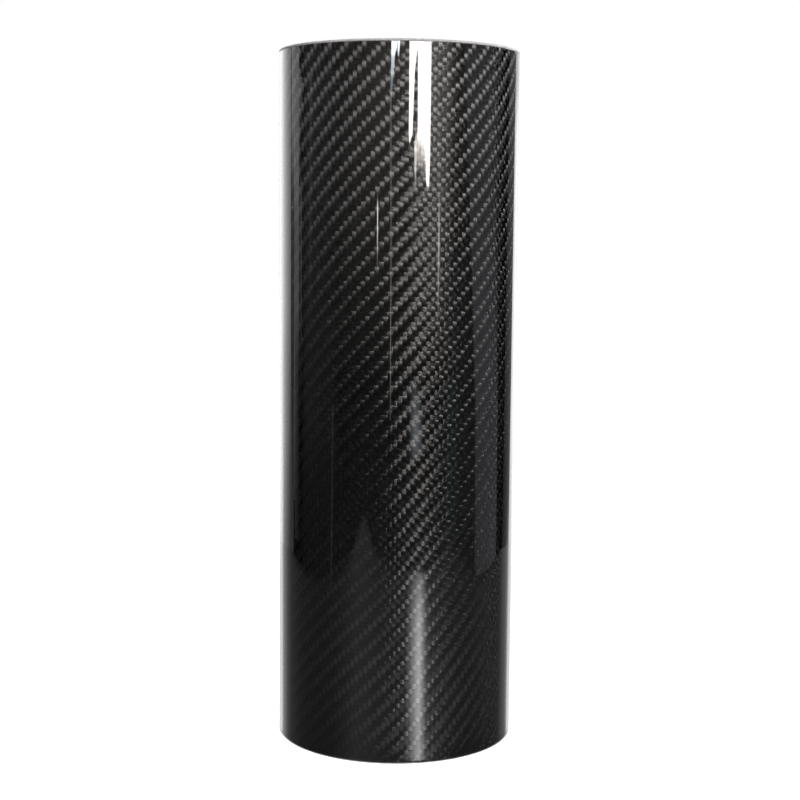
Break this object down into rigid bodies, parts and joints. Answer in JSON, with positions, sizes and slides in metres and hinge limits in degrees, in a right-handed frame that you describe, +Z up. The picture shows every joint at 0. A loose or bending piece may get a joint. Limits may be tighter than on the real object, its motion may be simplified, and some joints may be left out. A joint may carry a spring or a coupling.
{
  "type": "carbon fibre tube",
  "caption": "Straight round carbon fibre tube, standing on end, with a glossy twill-weave outside, a smooth open bore and square-cut ends with sanded bevels.",
  "frame": {"origin": "centre of the bottom cut end, on the tube's axis, in the plane that the tube stands on", "axes": "+Z runs up the tube's axis, and X and Y lie in the plane of the bottom end; the tube is the same all round"},
  "size_m": [0.104, 0.104, 0.3],
  "materials": {
    "carbon_twill": "black carbon fibre twill under a clear gloss coat outside, satin resin in the bore, sanded laminate on the cut ends"
  },
  "bodies": {
    "root": {"tube": "carbon_twill"}
  },
  "joints": []
}
